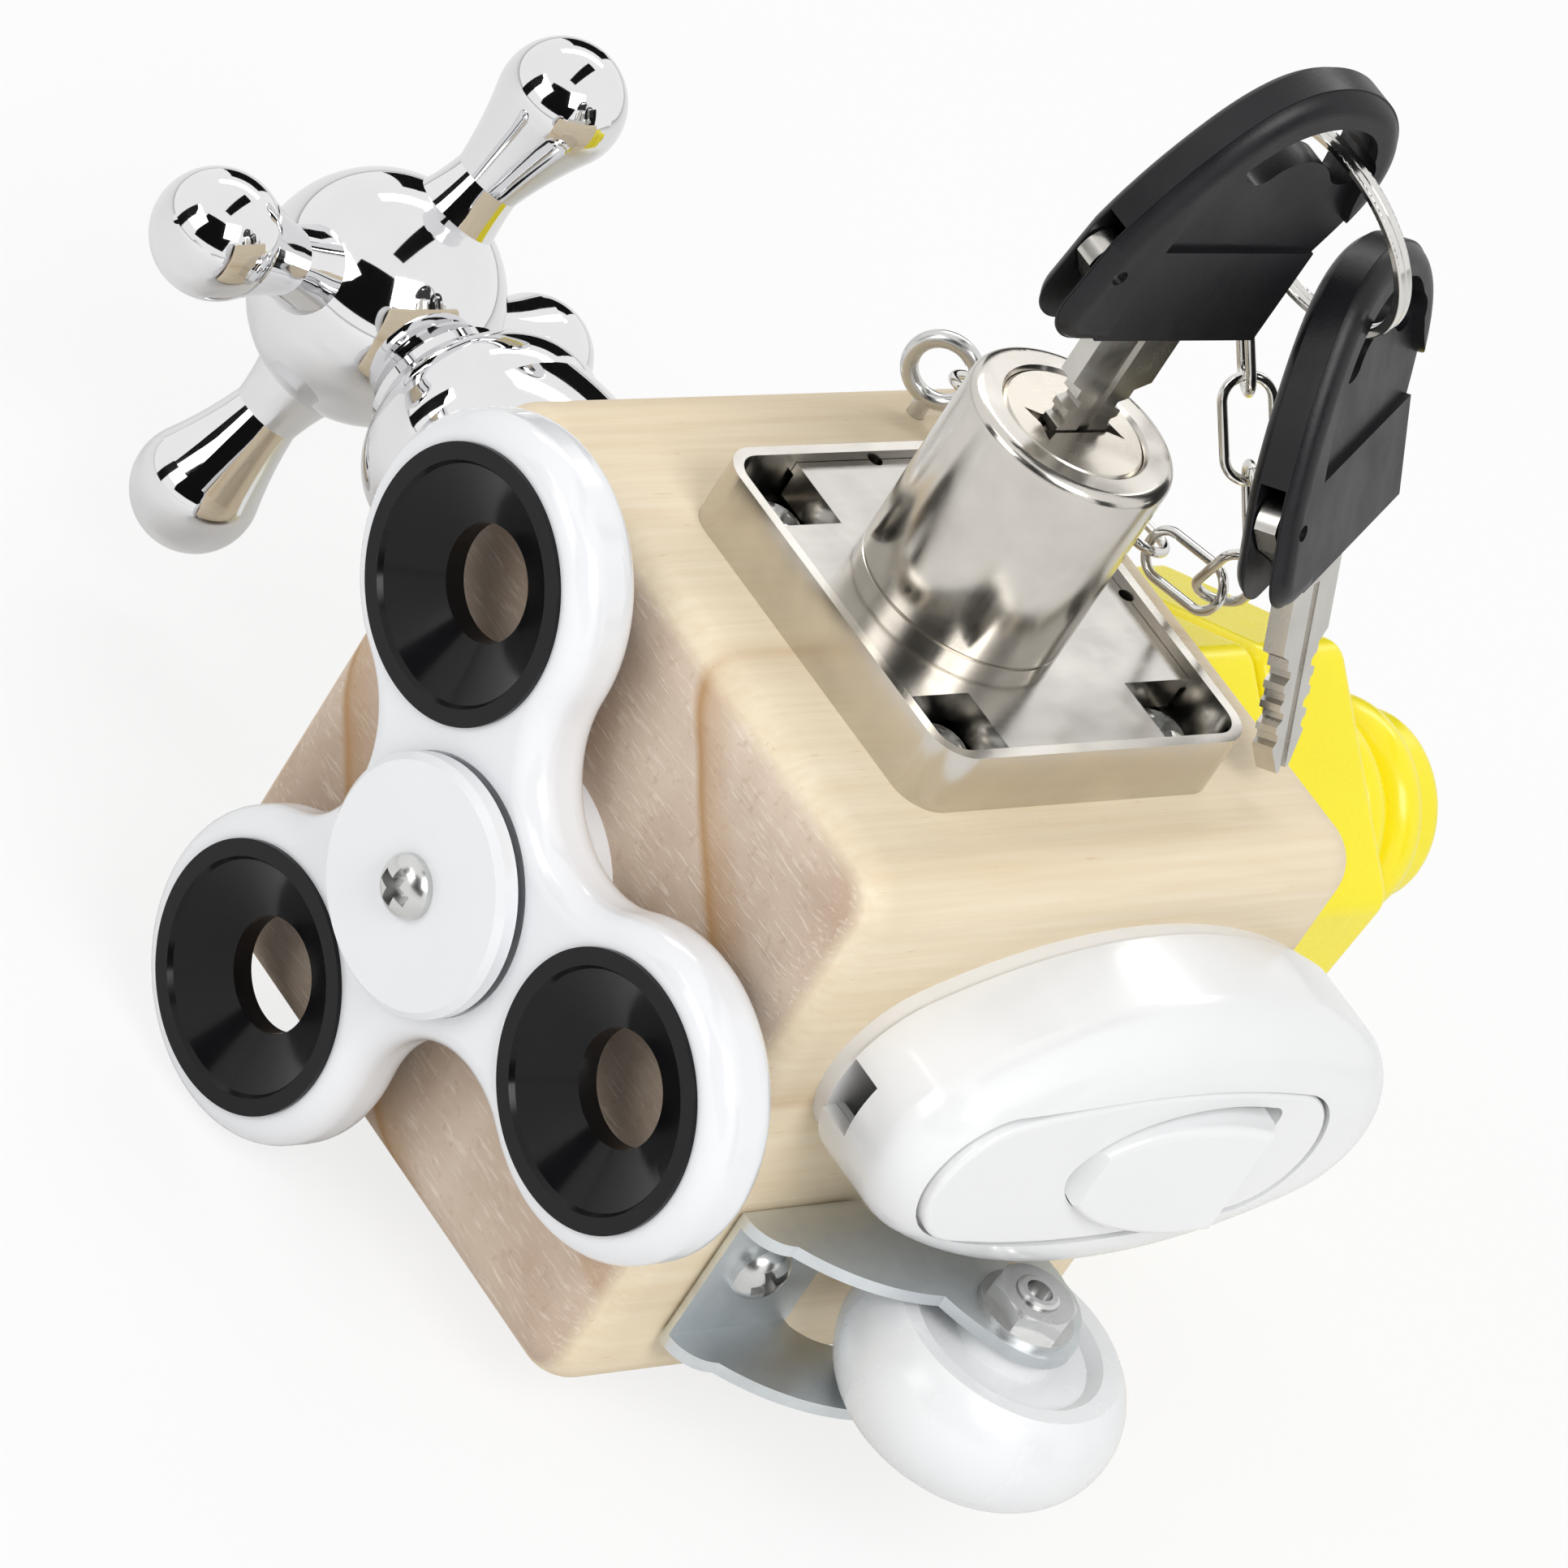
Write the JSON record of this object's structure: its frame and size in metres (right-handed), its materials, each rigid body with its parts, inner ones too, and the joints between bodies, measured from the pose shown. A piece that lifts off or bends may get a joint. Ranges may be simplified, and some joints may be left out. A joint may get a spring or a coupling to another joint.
{
  "type": "busy board cube",
  "caption": "Palm-sized wooden busy cube for small children, with a hand spinner, drawer lock with keys, tap handle, toy bolt and nut, rocker switch and caster.",
  "frame": {"origin": "centre of the cube's bare bottom face", "axes": "+X out of the toy bolt's face, -X out of the spinner's face, -Y out of the switch and caster's face, +Y out of the tap's face, +Z out of the lock's face"},
  "size_m": [0.1203, 0.1401, 0.1282],
  "materials": {
    "pine": "bare sanded pine, end grain on the two X faces",
    "white_shell": "glossy white moulded plastic",
    "black_ring": "glossy black ring weights",
    "bearing_steel": "polished bearing steel",
    "cage_nylon": "natural nylon",
    "zinc_screw": "bright zinc plate",
    "satin_nickel": "satin nickel plate",
    "plug_nickel": "satin nickel plate",
    "brass": "bare brass",
    "key_black": "satin black moulded plastic",
    "key_steel": "nickel-plated steel",
    "ring_nickel": "bright nickel plate",
    "tap_chrome": "mirror chrome plate",
    "yellow_plastic": "lemon yellow moulded plastic",
    "switch_white": "glossy white moulded plastic",
    "fork_zinc": "bright zinc-plated pressing",
    "axle_steel": "zinc-plated steel",
    "wheel_milky": "milky white nylon"
  },
  "bodies": {
    "cube": {"wood_cube": "pine", "spinner_rear_cap": "white_shell", "spinner_front_cap": "white_shell", "spinner_screw": "zinc_screw", "bearing_inner_race": "bearing_steel", "lock_case": "satin_nickel", "lock_cover": "satin_nickel", "lock_barrel": "satin_nickel", "lock_screws": "zinc_screw", "tap_flange": "tap_chrome", "tap_collar": "tap_chrome", "tap_spindle": "brass", "tap_screw": "zinc_screw", "toy_bolt": "yellow_plastic", "toy_bolt_screw": "zinc_screw", "switch_base": "switch_white", "switch_cover": "switch_white", "switch_panel": "switch_white", "switch_pin": "key_steel", "switch_contacts": "brass", "switch_case_screws": "zinc_screw", "switch_mount_screws": "zinc_screw", "caster_fork": "fork_zinc", "caster_screw": "zinc_screw", "caster_axle": "axle_steel", "caster_nut": "axle_steel", "screw_eye": "zinc_screw"},
    "spinner": {"spinner_body": "white_shell", "spinner_ring_1": "black_ring", "spinner_ring_2": "black_ring", "spinner_ring_3": "black_ring", "bearing_outer_race": "bearing_steel"},
    "ball_cage": {"bearing_cage": "cage_nylon", "bearing_balls": "bearing_steel"},
    "plug": {"lock_plug": "plug_nickel", "lock_wafers": "brass"},
    "bolt_plate": {"lock_bolt": "satin_nickel"},
    "key_1_steel": {"key_1_blade": "key_steel"},
    "key_1_grip": {"key_1_head": "key_black", "key_1_pin": "key_steel"},
    "ring": {"key_ring": "ring_nickel"},
    "key_2_grip": {"key_2_head": "key_black", "key_2_pin": "key_steel"},
    "key_2_steel": {"key_2_blade": "key_steel"},
    "chain_low": {"chain_lower_links": "ring_nickel"},
    "chain_high": {"chain_upper_links": "ring_nickel"},
    "tap": {"tap_handle": "tap_chrome", "tap_index_cap": "tap_chrome"},
    "nut": {"toy_nut": "yellow_plastic"},
    "wheel": {"caster_wheel": "wheel_milky"},
    "rocker": {"switch_rocker": "switch_white", "switch_bridge": "brass"}
  },
  "joints": [
    {"name": "spinner_spin", "type": "hinge", "parent": "cube", "child": "spinner", "pos_m": [-0.036, 0.0003, 0.0316], "axis": [-1, 0, 0], "continuous": true},
    {"name": "bearing_cage_spin", "type": "hinge", "parent": "cube", "child": "ball_cage", "pos_m": [-0.036, 0.0003, 0.0316], "axis": [-1, 0, 0], "continuous": true},
    {"name": "plug_turn", "type": "hinge", "parent": "cube", "child": "plug", "pos_m": [-0.0037, -0.0025, 0.075], "axis": [0, 0, 1], "range_deg": [-150, 0]},
    {"name": "bolt_slide", "type": "slide", "parent": "cube", "child": "bolt_plate", "axis": [1, 0, 0], "range_m": [0, 0.0056]},
    {"name": "key_1_slide", "type": "slide", "parent": "plug", "child": "key_1_steel", "axis": [0, 0, 1], "range_m": [-0.0015, 0.0062]},
    {"name": "key_1_fold", "type": "hinge", "parent": "key_1_steel", "child": "key_1_grip", "pos_m": [-0.0129, -0.0023, 0.1035], "axis": [-0.0218, -0.9998, 0], "range_deg": [0, 90]},
    {"name": "key_ring_swing", "type": "hinge", "parent": "key_1_grip", "child": "ring", "pos_m": [0.006, -0.00271, 0.1153], "axis": [0.1959, -0.9797, -0.042], "range_deg": [-1, 6]},
    {"name": "key_2_swing", "type": "hinge", "parent": "ring", "child": "key_2_grip", "pos_m": [0.0159, -0.0066, 0.0989], "axis": [0.1241, 0.8637, -0.4884], "range_deg": [-20, 1]},
    {"name": "key_2_fold", "type": "hinge", "parent": "key_2_grip", "child": "key_2_steel", "pos_m": [0.00929, -0.01574, 0.08587], "axis": [0.3558, -0.8487, 0.3913], "range_deg": [-78, 12]},
    {"name": "chain_swing", "type": "hinge", "parent": "cube", "child": "chain_low", "pos_m": [0.01603, 0.0233, 0.0651], "axis": [0, 0, 1], "range_deg": [-5, 20]},
    {"name": "chain_bend", "type": "hinge", "parent": "chain_low", "child": "chain_high", "pos_m": [0.01939, -0.00933, 0.07495], "axis": [0, 0, 1], "range_deg": [-15, 20]},
    {"name": "tap_turn", "type": "hinge", "parent": "cube", "child": "tap", "pos_m": [0.0015, 0.0712, 0.0303], "axis": [0, 1, 0], "continuous": true},
    {"name": "nut_turn", "type": "hinge", "parent": "cube", "child": "nut", "pos_m": [0.0489, 0.0022, 0.0306], "axis": [1, 0, 0], "continuous": true},
    {"name": "wheel_spin", "type": "hinge", "parent": "cube", "child": "wheel", "pos_m": [0.0013, -0.04455, 0.0152], "axis": [0, 0, 1], "continuous": true},
    {"name": "rocker_tilt", "type": "hinge", "parent": "cube", "child": "rocker", "pos_m": [0.0062, -0.0392, 0.0399], "axis": [0, 0, 1], "range_deg": [0, 14]}
  ],
  "couplings": [
    {"joint": "bearing_cage_spin", "follows": "spinner_spin", "ratio": 0.632},
    {"joint": "bolt_slide", "follows": "plug_turn", "m_per_rad": -0.00213}
  ]
}
